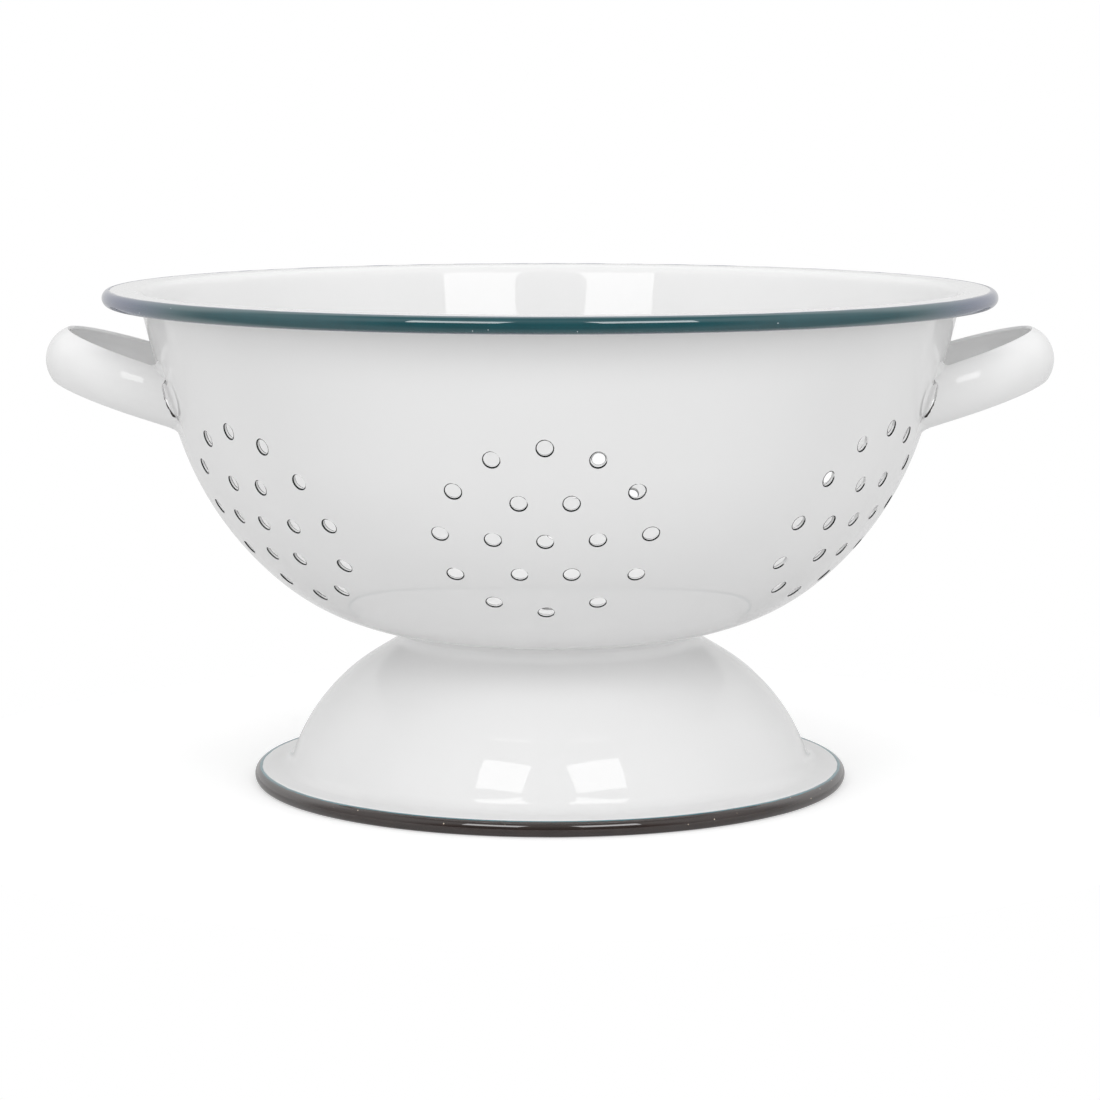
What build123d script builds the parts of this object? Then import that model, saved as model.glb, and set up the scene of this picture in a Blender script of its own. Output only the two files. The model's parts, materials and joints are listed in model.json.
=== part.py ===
from build123d import *
from math import atan2, cos, degrees, radians, sin, sqrt
import os

# Enamelled steel colander with a pressed foot and two strap handles, in millimetres.
# The axis of the bowl is Z, the foot stands on Z = 0 and the handles lie along X.

# Foot: a ring pressed from sheet, measured on its outer surface.
foot_sheet = 1.0
foot_bead_radius = 2.3
foot_bead_place_radius = 85.0
foot_bead_curl = 270.0
foot_standing_flat = 0.1
foot_flange_slope = 5.0
foot_flange_length = 5.0
foot_fillet_radius = 5.0
foot_dome_steepest = 70.2
foot_dome_radius = 55.9
foot_shoulder_slope = 31.4
foot_shoulder_length = 7.4
foot_neck_radius = 3.6
foot_collar_height = 1.3

# Bowl: a deep drawn shell with three wall curves, a flat lip and a curled rim,
# also measured on its outer surface.
bowl_sheet = 1.0
bowl_floor_radius = 36.4
bowl_heel_radius = 67.6
bowl_heel_turn = 40.3
bowl_belly_radius = 92.7
bowl_belly_turn = 30.4
bowl_wall_radius = 345.6
bowl_wall_turn = 7.15
bowl_flare_radius = 2.5
rim_lip_width = 5.85
rim_bead_radius = 2.3
rim_bead_curl = 270.0

# Coloured enamel over the two curled edges.
band_coat = 0.15
rim_band_upper_angle = 88.0
rim_band_lower_angle = 80.0
foot_band_upper_angle = 85.0
foot_band_lower_angle = 60.0

# Drain holes: one hole in the middle, an inner ring and an outer ring in each cluster.
hole_radius = 2.5
hole_lining = 0.12
inner_ring_radius = 14.0
inner_ring_count = 6
outer_ring_radius = 28.2
outer_ring_count = 12
cluster_wall_slope = 58.7
front_cluster_turn = -0.7
front_right_cluster_turn = 59.0
back_right_cluster_turn = 120.0
back_cluster_turn = 179.0
back_left_cluster_turn = 240.0
front_left_cluster_turn = 307.0

# Handles: a half-round strap bent to a loop in a plane that rises outwards.
handle_sheet = 1.0
handle_beyond_rim = 13.2
handle_below_rim = 19.0
handle_rise = 17.8
handle_bend_radius = 30.5
handle_section_radius = 9.85
handle_section_half_angle = 52.2
handle_gap_half_height = 4.8
handle_gap_half_width = 2.6

# Weld beads.
foot_weld_leg = 2.0
handle_weld_radius = 3.4

# One overrun serves every cut.
overrun = 12.0


def arc_from(start, heading, radius, turn):
    """Centre, end point and end heading of an arc that turns left, or right for a minus turn."""
    side = 1 if turn > 0 else -1
    centre_across = start[0] - side * radius * sin(radians(heading))
    centre_up = start[1] + side * radius * cos(radians(heading))
    end_heading = heading + turn
    end_across = centre_across + side * radius * sin(radians(end_heading))
    end_up = centre_up - side * radius * cos(radians(end_heading))
    return (centre_across, centre_up), (end_across, end_up), end_heading


# Outline of the foot's outer surface, from the curled edge inwards and up to the collar.
foot_bead_height = foot_bead_radius - foot_standing_flat
foot_start_angle = 90 - foot_flange_slope
foot_start = (
    foot_bead_place_radius + foot_bead_radius * cos(radians(foot_start_angle)),
    foot_bead_height + foot_bead_radius * sin(radians(foot_start_angle)),
)
flange_heading = 180 - foot_flange_slope
flange_end = (
    foot_start[0] + foot_flange_length * cos(radians(flange_heading)),
    foot_start[1] + foot_flange_length * sin(radians(flange_heading)),
)
fillet_turn = foot_flange_slope - foot_dome_steepest
dome_turn = foot_dome_steepest - foot_shoulder_slope
neck_turn = foot_shoulder_slope - 90
fillet_centre, dome_start, dome_heading = arc_from(
    flange_end, flange_heading, foot_fillet_radius, fillet_turn
)
dome_centre, shoulder_start, shoulder_heading = arc_from(
    dome_start, dome_heading, foot_dome_radius, dome_turn
)
neck_start = (
    shoulder_start[0] + foot_shoulder_length * cos(radians(shoulder_heading)),
    shoulder_start[1] + foot_shoulder_length * sin(radians(shoulder_heading)),
)
neck_centre, collar_start, collar_heading = arc_from(
    neck_start, shoulder_heading, foot_neck_radius, neck_turn
)
collar_radius = collar_start[0]
collar_top = collar_start[1] + foot_collar_height

# The bowl rests on the inner edge of the collar, which fixes the height of its floor.
collar_inner_radius = collar_radius - foot_sheet
heel_rise_share = max(collar_inner_radius - bowl_floor_radius, 0) / bowl_heel_radius
floor_height = collar_top - bowl_heel_radius * (1 - sqrt(1 - heel_rise_share**2))

# Outline of the bowl's outer surface, from the floor up to the lip.
heel_centre, belly_start, belly_heading = arc_from(
    (bowl_floor_radius, floor_height), 0, bowl_heel_radius, bowl_heel_turn
)
belly_centre, wall_start, wall_heading = arc_from(
    belly_start, belly_heading, bowl_belly_radius, bowl_belly_turn
)
wall_centre, flare_start, flare_heading = arc_from(
    wall_start, wall_heading, bowl_wall_radius, bowl_wall_turn
)
flare_centre, flare_end, lip_heading = arc_from(
    flare_start, flare_heading, bowl_flare_radius, -flare_heading
)
rim_top = flare_end[1] + bowl_sheet
rim_bead_place_radius = flare_end[0] + rim_lip_width
rim_bead_height = rim_top - rim_bead_radius
rim_radius = rim_bead_place_radius + rim_bead_radius + band_coat


def outside_radius(height):
    """Radius of the bowl's outer surface at a height between its floor and its lip."""
    centre, radius = heel_centre, bowl_heel_radius
    if height > belly_start[1]:
        centre, radius = belly_centre, bowl_belly_radius
    if height > wall_start[1]:
        centre, radius = wall_centre, bowl_wall_radius
    return centre[0] + sqrt(radius**2 - (height - centre[1]) ** 2)


def bowl_outline(inset):
    """Draws the bowl's outer outline, moved into the sheet by inset, up to its flare."""
    floor = Line((0, floor_height + inset), (bowl_floor_radius, floor_height + inset))
    heel = JernArc(floor @ 1, floor % 1, bowl_heel_radius - inset, bowl_heel_turn)
    belly = JernArc(heel @ 1, heel % 1, bowl_belly_radius - inset, bowl_belly_turn)
    wall = JernArc(belly @ 1, belly % 1, bowl_wall_radius - inset, bowl_wall_turn)
    return JernArc(wall @ 1, wall % 1, bowl_flare_radius + inset, -flare_heading)


def rim_outline(flare, curl_radius):
    """Draws the flat lip from the end of the flare and the curl that follows it."""
    lip = PolarLine(flare @ 1, rim_lip_width, direction=flare % 1)
    return JernArc(lip @ 1, lip % 1, curl_radius, -rim_bead_curl)


def foot_outline(inset):
    """Draws the foot's outer outline, moved into the sheet by inset, from curl to collar."""
    curl_radius = foot_bead_radius - inset
    curl_gap = 270 - foot_bead_curl
    curl = JernArc(
        (
            foot_bead_place_radius - curl_radius * cos(radians(curl_gap)),
            foot_bead_height - curl_radius * sin(radians(curl_gap)),
        ),
        (sin(radians(curl_gap)), -cos(radians(curl_gap))),
        curl_radius,
        foot_bead_curl - foot_flange_slope,
    )
    flange = PolarLine(curl @ 1, foot_flange_length, direction=curl % 1)
    fillet_arc = JernArc(flange @ 1, flange % 1, foot_fillet_radius + inset, fillet_turn)
    dome = JernArc(fillet_arc @ 1, fillet_arc % 1, foot_dome_radius - inset, dome_turn)
    shoulder = PolarLine(dome @ 1, foot_shoulder_length, direction=dome % 1)
    neck = JernArc(shoulder @ 1, shoulder % 1, foot_neck_radius + inset, neck_turn)
    collar = PolarLine(neck @ 1, foot_collar_height + foot_sheet, direction=neck % 1)
    return curl, collar


def arc_strip(centre, outer_radius, thickness, start_angle, arc_size):
    """Draws a closed strip of constant thickness between two arcs about one centre."""
    outer = CenterArc(centre, outer_radius, start_angle, arc_size)
    inner = CenterArc(centre, outer_radius - thickness, start_angle, arc_size)
    Line(outer @ 0, inner @ 0)
    Line(outer @ 1, inner @ 1)


# The bowl as it is before punching, with its rim curled outwards and under.
with BuildPart() as bowl_blank:
    with BuildSketch(Plane.XZ):
        with BuildLine():
            inner_curl = rim_outline(bowl_outline(0), rim_bead_radius - bowl_sheet)
            outer_curl = rim_outline(bowl_outline(bowl_sheet), rim_bead_radius)
            Line(inner_curl @ 1, outer_curl @ 1)
            Line((0, floor_height), (0, floor_height + bowl_sheet))
        make_face()
    revolve(axis=Axis.Z)

# Everything inside the bowl's outer surface, used to fit the pieces that meet it.
with BuildPart() as bowl_envelope:
    with BuildSketch(Plane.XZ):
        with BuildLine():
            flare = bowl_outline(0)
            Polyline(flare @ 1, (0, flare_end[1]), (0, floor_height))
        make_face()
    revolve(axis=Axis.Z)


def wall_cluster_plane(turn):
    """Plane square to the wall at the middle of a cluster, turned from the front about Z."""
    across = belly_centre[0] + bowl_belly_radius * sin(radians(cluster_wall_slope))
    up = belly_centre[1] - bowl_belly_radius * cos(radians(cluster_wall_slope))
    sideways, forwards = sin(radians(turn)), -cos(radians(turn))
    outwards = sin(radians(cluster_wall_slope))
    return Plane(
        origin=(across * sideways, across * forwards, up),
        x_dir=(cos(radians(turn)), sin(radians(turn)), 0),
        z_dir=(outwards * sideways, outwards * forwards, -cos(radians(cluster_wall_slope))),
    )


cluster_planes = {
    "hole_edges_front": wall_cluster_plane(front_cluster_turn),
    "hole_edges_front_right": wall_cluster_plane(front_right_cluster_turn),
    "hole_edges_back_right": wall_cluster_plane(back_right_cluster_turn),
    "hole_edges_back": wall_cluster_plane(back_cluster_turn),
    "hole_edges_back_left": wall_cluster_plane(back_left_cluster_turn),
    "hole_edges_front_left": wall_cluster_plane(front_left_cluster_turn),
    "hole_edges_bottom": Plane(origin=(0, 0, floor_height), x_dir=(1, 0, 0), z_dir=(0, 0, -1)),
}


def cluster_circles(radius, mode=Mode.ADD):
    """The circles of one cluster: the middle hole and its two rings."""
    Circle(radius, mode=mode)
    with PolarLocations(inner_ring_radius, inner_ring_count):
        Circle(radius, mode=mode)
    with PolarLocations(outer_ring_radius, outer_ring_count):
        Circle(radius, mode=mode)


# The punched bowl.
with BuildPart() as bowl:
    add(bowl_blank.part)
    for cluster_plane in cluster_planes.values():
        with BuildSketch(cluster_plane):
            cluster_circles(hole_radius)
        extrude(amount=overrun, both=True, mode=Mode.SUBTRACT)
bowl.part.label = "bowl"

# Foot: curled edge, flange, dome, neck and collar in one strip of sheet.
with BuildPart() as foot:
    with BuildSketch(Plane.XZ):
        with BuildLine():
            outer_curl, outer_collar = foot_outline(0)
            inner_curl, inner_collar = foot_outline(foot_sheet)
            Line(outer_curl @ 0, inner_curl @ 0)
            Line(outer_collar @ 1, inner_collar @ 1)
        make_face()
    revolve(axis=Axis.Z)
    split(bisect_by=Plane.XY, keep=Keep.TOP)
    add(bowl_envelope.part, mode=Mode.SUBTRACT)
foot.part.label = "foot"

# Weld bead in the corner between the collar and the bowl.
with BuildPart() as foot_weld_seam:
    with BuildSketch(Plane.XZ):
        with BuildLine():
            seam_low = (collar_radius, collar_top - foot_weld_leg)
            seam_out = (collar_radius + foot_weld_leg, collar_top)
            seam_top = collar_top + foot_weld_leg
            RadiusArc(seam_low, seam_out, foot_weld_leg)
            Polyline(seam_out, (seam_out[0], seam_top), (collar_radius, seam_top), seam_low)
        make_face()
    revolve(axis=Axis.Z)
    add(bowl_envelope.part, mode=Mode.SUBTRACT)
    add(foot.part, mode=Mode.SUBTRACT)
foot_weld_seam.part.label = "foot_weld_seam"

# Coloured enamel on the rim.
with BuildPart() as rim_enamel_band:
    with BuildSketch(Plane.XZ):
        with BuildLine():
            arc_strip(
                (rim_bead_place_radius, rim_bead_height),
                rim_bead_radius + band_coat,
                band_coat,
                -rim_band_lower_angle,
                rim_band_lower_angle + rim_band_upper_angle,
            )
        make_face()
    revolve(axis=Axis.Z)
rim_enamel_band.part.label = "rim_enamel_band"

# Dark enamel on the edge of the foot.
with BuildPart() as foot_edge_band:
    with BuildSketch(Plane.XZ):
        with BuildLine():
            arc_strip(
                (foot_bead_place_radius, foot_bead_height),
                foot_bead_radius + band_coat,
                band_coat,
                -foot_band_lower_angle,
                foot_band_lower_angle + foot_band_upper_angle,
            )
        make_face()
    revolve(axis=Axis.Z)
foot_edge_band.part.label = "foot_edge_band"

# Frame of the right-hand handle: X runs outwards and up along the loop, Z across the strap.
handle_tip_place = rim_radius + handle_beyond_rim
handle_tip_height = rim_top - handle_below_rim
handle_plane = Plane(
    origin=(handle_tip_place, 0, handle_tip_height),
    x_dir=(cos(radians(handle_rise)), 0, sin(radians(handle_rise))),
    z_dir=(-sin(radians(handle_rise)), 0, cos(radians(handle_rise))),
)
section_half_height = handle_section_radius * sin(radians(handle_section_half_angle))
section_centre_inset = handle_section_radius * cos(radians(handle_section_half_angle))
leg_length = 2 * overrun


def strap_meets_wall(across_strap, sideways):
    """Point where a line along the handle's leg meets the bowl's outer surface."""
    near, far = 0, handle_bend_radius + leg_length
    for _ in range(60):
        middle = (near + far) / 2
        across = (
            handle_tip_place
            - middle * cos(radians(handle_rise))
            - across_strap * sin(radians(handle_rise))
        )
        up = (
            handle_tip_height
            - middle * sin(radians(handle_rise))
            + across_strap * cos(radians(handle_rise))
        )
        if sqrt(across**2 + sideways**2) > outside_radius(up):
            near = middle
        else:
            far = middle
    return Vector(across, -sideways, up)


upper_corner = strap_meets_wall(section_half_height, handle_bend_radius)
lower_corner = strap_meets_wall(-section_half_height, handle_bend_radius)
bulge = handle_section_radius - section_centre_inset
gap_middle = strap_meets_wall(0, handle_bend_radius + bulge / 2)
gap_lean = degrees(atan2(upper_corner.X - lower_corner.X, upper_corner.Z - lower_corner.Z))

# Right-hand handle: half of the loop is swept, fitted to the bowl and mirrored.
with BuildPart() as handle_right:
    with BuildLine(handle_plane) as loop_path:
        leg = Line(
            (-handle_bend_radius - leg_length, -handle_bend_radius),
            (-handle_bend_radius, -handle_bend_radius),
        )
        JernArc(leg @ 1, leg % 1, handle_bend_radius, 90)
    with BuildSketch(
        Plane(
            origin=handle_plane.from_local_coords(
                (-handle_bend_radius - leg_length, -handle_bend_radius, 0)
            ),
            x_dir=(0, -1, 0),
            z_dir=handle_plane.x_dir,
        )
    ):
        with BuildLine():
            arc_strip(
                (-section_centre_inset, 0),
                handle_section_radius,
                handle_sheet,
                -handle_section_half_angle,
                2 * handle_section_half_angle,
            )
        make_face()
    sweep(path=loop_path.wire())
    add(bowl_envelope.part, mode=Mode.SUBTRACT)
    with BuildSketch(
        Plane(
            origin=gap_middle,
            x_dir=(sin(radians(gap_lean)), 0, cos(radians(gap_lean))),
            z_dir=(0, -1, 0),
        )
    ):
        Ellipse(handle_gap_half_height, handle_gap_half_width)
    extrude(amount=overrun, both=True, mode=Mode.SUBTRACT)
    mirror(about=Plane.XZ)
handle_right.part.label = "handle_right"

# Left-hand handle.
with BuildPart() as handle_left:
    add(mirror(handle_right.part, about=Plane.YZ, mode=Mode.PRIVATE))
handle_left.part.label = "handle_left"

# Weld beads at the upper and lower corner of one strap end.
with BuildPart() as handle_right_front_welds:
    with Locations(upper_corner, lower_corner):
        Sphere(handle_weld_radius)
    add(bowl_envelope.part, mode=Mode.SUBTRACT)
    add(handle_right.part, mode=Mode.SUBTRACT)
handle_right_front_welds.part.label = "handle_right_front_welds"

with BuildPart() as handle_right_back_welds:
    add(mirror(handle_right_front_welds.part, about=Plane.XZ, mode=Mode.PRIVATE))
handle_right_back_welds.part.label = "handle_right_back_welds"

with BuildPart() as handle_left_front_welds:
    add(mirror(handle_right_front_welds.part, about=Plane.YZ, mode=Mode.PRIVATE))
handle_left_front_welds.part.label = "handle_left_front_welds"

with BuildPart() as handle_left_back_welds:
    add(mirror(handle_right_back_welds.part, about=Plane.YZ, mode=Mode.PRIVATE))
handle_left_back_welds.part.label = "handle_left_back_welds"

os.makedirs("parts", exist_ok=True)
export_step(bowl.part, "parts/bowl.step")
export_step(rim_enamel_band.part, "parts/rim_enamel_band.step")
export_step(foot.part, "parts/foot.step")
export_step(foot_edge_band.part, "parts/foot_edge_band.step")
export_step(foot_weld_seam.part, "parts/foot_weld_seam.step")
export_step(handle_left.part, "parts/handle_left.step")
export_step(handle_right.part, "parts/handle_right.step")
export_step(handle_left_front_welds.part, "parts/handle_left_front_welds.step")
export_step(handle_left_back_welds.part, "parts/handle_left_back_welds.step")
export_step(handle_right_front_welds.part, "parts/handle_right_front_welds.step")
export_step(handle_right_back_welds.part, "parts/handle_right_back_welds.step")

# Dark ground enamel that lines the punched holes, one group of rings for each cluster.
for name, cluster_plane in cluster_planes.items():
    with BuildPart() as hole_edges:
        with BuildSketch(cluster_plane):
            cluster_circles(hole_radius)
            cluster_circles(hole_radius - hole_lining, mode=Mode.SUBTRACT)
        extrude(amount=overrun, both=True)
        add(bowl_blank.part, mode=Mode.INTERSECT)
    hole_edges.part.label = name
    export_step(hole_edges.part, f"parts/{name}.step")

print("rim radius", round(rim_radius, 2), "rim top", round(rim_top, 2))
print("floor height", round(floor_height, 2), "collar radius", round(collar_radius, 2))
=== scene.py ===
# A white enamelled steel colander: a punched bowl with a teal rim, on a pressed foot with
# a dark edge, with two welded strap handles. Lengths are in millimetres until a mesh is
# written, and Z is up along the bowl's axis.

import json
import logging
from collections.abc import Callable, Iterable
from dataclasses import dataclass
from enum import Enum
from math import acos, cos, degrees, pi, radians, sin, sqrt

import bmesh
import bpy
from bmesh.types import BMesh, BMVert
from bpy.types import Material, Node, NodeSocket, Object, World
from mathutils import Matrix, Vector, noise

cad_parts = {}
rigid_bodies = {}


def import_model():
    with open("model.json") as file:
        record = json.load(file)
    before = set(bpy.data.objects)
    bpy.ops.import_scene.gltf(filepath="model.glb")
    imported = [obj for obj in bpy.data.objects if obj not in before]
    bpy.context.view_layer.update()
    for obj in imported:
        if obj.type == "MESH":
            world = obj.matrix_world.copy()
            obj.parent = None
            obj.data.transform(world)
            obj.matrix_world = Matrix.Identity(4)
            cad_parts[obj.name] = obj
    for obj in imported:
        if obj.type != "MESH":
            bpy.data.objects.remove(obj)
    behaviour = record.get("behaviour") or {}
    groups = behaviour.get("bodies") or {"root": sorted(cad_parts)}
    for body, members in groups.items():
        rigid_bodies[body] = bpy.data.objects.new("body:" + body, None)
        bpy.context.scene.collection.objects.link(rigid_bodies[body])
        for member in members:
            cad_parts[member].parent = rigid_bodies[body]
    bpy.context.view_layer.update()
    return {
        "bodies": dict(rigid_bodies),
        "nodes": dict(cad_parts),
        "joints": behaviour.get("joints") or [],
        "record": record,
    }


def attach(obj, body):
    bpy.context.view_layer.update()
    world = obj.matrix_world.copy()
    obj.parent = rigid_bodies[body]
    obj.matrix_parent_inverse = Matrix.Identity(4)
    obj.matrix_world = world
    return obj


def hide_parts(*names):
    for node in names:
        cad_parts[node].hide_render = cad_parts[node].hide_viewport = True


LOG = logging.getLogger("colander")
MM = 0.001
BODY = "root"
WHITE = (1.0, 1.0, 1.0, 1.0)
SLIDE_STEPS = 10
SLIDE_SHARE = 0.95
ARC_STEPS = 6


class Slot(Enum):
    """Material slots of the record."""

    WHITE = "white_enamel"
    TEAL = "teal_enamel"
    DARK = "dark_enamel"
    GROUND = "ground_enamel"


class Side(Enum):
    """Sides of the bowl with a handle: the right one is as drawn, the left mirrors it."""

    RIGHT = 1
    LEFT = -1


class End(Enum):
    """Ends of a strap: the front one is as drawn, and the back one mirrors it."""

    FRONT = 1
    BACK = -1


def linear(code: str) -> tuple[float, float, float, float]:
    """Turns an sRGB hex colour into linear light.

    Args:
        code: Colour as "#rrggbb".

    Returns:
        Linear red, green and blue, and full opacity.
    """
    steps = [int(code[i : i + 2], 16) / 255 for i in (1, 3, 5)]
    light = [s / 12.92 if s <= 0.04045 else ((s + 0.055) / 1.055) ** 2.4 for s in steps]
    return (*light, 1.0)


def per_mm(size: float) -> float:
    """Gives the texture scale at which a feature measures size millimetres."""
    return 1 / (size * MM)


def ahead(angle: float) -> Vector:
    """Gives the direction at an angle in degrees."""
    return Vector((cos(radians(angle)), sin(radians(angle))))


@dataclass(frozen=True)
class Pattern:
    """A cloudy pattern: the size of its features in millimetres, and how fine it gets."""

    size: float
    detail: float = 1.0
    roughness: float = 0.5

    def inputs(self, place: NodeSocket) -> dict[str | int, object]:
        """Gives the inputs of its noise texture, read at a place."""
        sizes = {"Scale": per_mm(self.size), "Detail": self.detail, "Roughness": self.roughness}
        return {"Vector": place, **sizes}


class Graph:
    """Shader nodes of a finish or of the world."""

    def __init__(self, owner: Material | World) -> None:
        """Starts an empty graph.

        Args:
            owner: What the nodes are for.
        """
        owner.use_nodes = True
        self.tree = owner.node_tree
        self.tree.nodes.clear()
        self.coordinates = self.add("TexCoord").outputs
        self.place = self.coordinates["Object"]

    def add(
        self, kind: str, inputs: dict[str | int, object] | None = None, **settings: object
    ) -> Node:
        """Adds one node with its settings and inputs.

        Args:
            kind: Blender's name of the node type, after ShaderNode.
            inputs: Socket to link or constant to set, by input name or number.
            settings: Attributes of the node.

        Returns:
            The new node.
        """
        node = self.tree.nodes.new("ShaderNode" + kind)
        for name, value in settings.items():
            setattr(node, name, value)
        for name, value in (inputs or {}).items():
            if isinstance(value, NodeSocket):
                self.tree.links.new(value, node.inputs[name])
            else:
                node.inputs[name].default_value = value
        return node

    def clouded(self, pattern: Pattern, colour: str, cloud_colour: str) -> NodeSocket:
        """Adds a colour with clouds of a second colour.

        Args:
            pattern: Size and fineness of the clouds.
            colour: Colour between the clouds.
            cloud_colour: Colour of the clouds.

        Returns:
            The mixed colour.
        """
        cloud = self.add("TexNoise", pattern.inputs(self.place)).outputs["Fac"]
        inputs = {0: cloud, 6: linear(colour), 7: linear(cloud_colour)}
        return self.add("Mix", inputs, data_type="RGBA").outputs[2]

    def broken_mark(
        self, pattern: Pattern, attribute: str, start: float, width: float
    ) -> NodeSocket:
        """Adds a mask where a mesh's own number and a pattern together are high enough.

        Args:
            pattern: What breaks the mark up.
            attribute: Name of the mesh's number.
            start: Sum at which the mark starts.
            width: Further sum up to which it grows.

        Returns:
            The mask.
        """
        mark = self.add("Attribute", attribute_name=attribute, attribute_type="GEOMETRY")
        patch = self.add("TexNoise", pattern.inputs(self.place))
        inputs = {0: mark.outputs["Fac"], 1: patch.outputs["Fac"]}
        whole = self.add("Math", inputs, operation="ADD").outputs[0]
        inputs = {"Value": whole, "From Min": start, "From Max": start + width}
        return self.add("MapRange", inputs, interpolation_type="SMOOTHSTEP").outputs[0]

    def relief(self, *layers: tuple[Pattern, float]) -> NodeSocket:
        """Adds shallow waves to a surface, one pattern over the other.

        Args:
            layers: Each pattern and its height in millimetres.

        Returns:
            The normal that they give.
        """
        under: dict[str | int, object] = {}
        for pattern, height in layers:
            waves = self.add("TexNoise", pattern.inputs(self.place)).outputs["Fac"]
            inputs = {"Strength": 1.0, "Distance": height * MM, "Height": waves}
            under = {"Normal": self.add("Bump", inputs | under).outputs[0]}
        return under["Normal"]


@dataclass(frozen=True)
class VitreousEnamel:
    """Glass fused on steel: a dipped and fired coat, smooth with a faint flow of its own."""

    name: str
    colour: str = "#f3f3f3"
    cloud_colour: str = "#f0f0f0"
    cloud: Pattern = Pattern(55.0, 3.0)
    roughness: float = 0.02
    ior: float = 1.52
    flow: Pattern = Pattern(17.0)
    flow_height: float = 0.08
    grain: Pattern = Pattern(1.6)
    grain_height: float = 0.0012
    bare_colour: str = "#2b2624"
    bare_patch: Pattern = Pattern(2.2, 4.0, 0.62)
    bare_from: float = 1.0
    bare_width: float = 0.12

    def make(self) -> Material:
        """Builds the material, with dark ground enamel where the mesh is marked bare; on the
        straps' ends that mark is also painted shade, stronger towards the lower edge.

        Returns:
            The material.
        """
        material = bpy.data.materials.new(self.name)
        graph = Graph(material)
        body = graph.clouded(self.cloud, self.colour, self.cloud_colour)
        bare = graph.broken_mark(self.bare_patch, "bare", self.bare_from, self.bare_width)
        inputs = {0: bare, 6: body, 7: linear(self.bare_colour)}
        inputs = {
            "Base Color": graph.add("Mix", inputs, data_type="RGBA").outputs[2],
            "Normal": graph.relief(
                (self.flow, self.flow_height), (self.grain, self.grain_height)
            ),
            "Roughness": self.roughness,
            "IOR": self.ior,
        }
        graph.add("OutputMaterial", {0: graph.add("BsdfPrincipled", inputs).outputs[0]})
        return material


@dataclass(frozen=True)
class Change:
    """A colour that takes over from a level on, or below it for a minus width."""

    colour: str
    start: float
    width: float


@dataclass(frozen=True)
class BandEnamel:
    """Coloured enamel run over a curled edge, with pits, thin at both of its borders."""

    name: str
    colour: str
    cloud_colour: str
    upper: Change
    lower: Change
    line: Change
    pits: Change
    pit_size: float
    ior: float
    cloud: Pattern = Pattern(6.0, 5.0, 0.6)
    ragged: Pattern = Pattern(2.5, 4.0, 0.6)
    ragged_share: float = 0.06
    roughness: float = 0.03
    flow: Pattern = Pattern(14.0)
    flow_height: float = 0.03

    def make(self) -> Material:
        """Builds the material from the coat's own numbers, across and thin, where thin is a
        painted reflection that pales the coat towards the handles.

        Returns:
            The material.
        """
        material = bpy.data.materials.new(self.name)
        graph = Graph(material)
        across, thin = (
            graph.add("Attribute", attribute_name=name, attribute_type="GEOMETRY").outputs["Fac"]
            for name in ("across", "thin")
        )
        ragged = graph.add("TexNoise", self.ragged.inputs(graph.place)).outputs["Fac"]
        inputs = {"Value": ragged, "To Min": -self.ragged_share, "To Max": self.ragged_share}
        inputs = {0: across, 1: graph.add("MapRange", inputs).outputs[0]}
        height = graph.add("Math", inputs, operation="ADD").outputs[0]
        inputs = {"Vector": graph.place, "Scale": per_mm(self.pit_size)}
        from_pit = graph.add("TexVoronoi", inputs).outputs["Distance"]
        colour = graph.clouded(self.cloud, self.colour, self.cloud_colour)
        for change in (self.upper, self.lower, self.line, self.pits):
            inputs = {
                "Value": from_pit if change is self.pits else height,
                "From Min": change.start,
                "From Max": change.start + change.width,
            }
            mask = graph.add("MapRange", inputs, interpolation_type="SMOOTHSTEP").outputs[0]
            # The upper border's lavender is also laid where thin is high, towards the handles: a
            # painted reflection of the bright sides.
            if change is self.upper:
                mask = graph.add("Math", {0: mask, 1: thin}, operation="MAXIMUM").outputs[0]
            inputs = {0: mask, 6: colour, 7: linear(change.colour)}
            colour = graph.add("Mix", inputs, data_type="RGBA").outputs[2]
        normal = graph.relief((self.flow, self.flow_height))
        sizes = {"Roughness": self.roughness, "IOR": self.ior}
        inputs = {"Base Color": colour, "Normal": normal, **sizes}
        graph.add("OutputMaterial", {0: graph.add("BsdfPrincipled", inputs).outputs[0]})
        return material


@dataclass(frozen=True)
class GroundEnamel:
    """Near-black ground enamel left on punched edges, with the white coat over parts of it; its
    dark mark also holds painted shade, darker on the side of each hole away from the light.
    """

    name: str
    colour: str = "#0e1517"
    cover_colour: str = "#f1f1f1"
    patch: Pattern = Pattern(3.0, 3.0, 0.6)
    dark_from: float = 1.14
    dark_width: float = 0.07
    roughness: float = 0.25
    ior: float = 1.4

    def make(self) -> Material:
        """Builds the material, white in the hole and dark in broken lines on its edge.

        Returns:
            The material.
        """
        material = bpy.data.materials.new(self.name)
        graph = Graph(material)
        dark = graph.broken_mark(self.patch, "dark", self.dark_from, self.dark_width)
        inputs = {0: dark, 6: linear(self.cover_colour), 7: linear(self.colour)}
        colour = graph.add("Mix", inputs, data_type="RGBA").outputs[2]
        inputs = {"Base Color": colour, "Roughness": self.roughness, "IOR": self.ior}
        graph.add("OutputMaterial", {0: graph.add("BsdfPrincipled", inputs).outputs[0]})
        return material


@dataclass(frozen=True)
class Run:
    """A straight stretch of a sheet's outline."""

    length: float


@dataclass(frozen=True)
class Bend:
    """An arc of a sheet's outline, which turns left, or right for a minus turn."""

    radius: float
    turn: float


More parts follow.
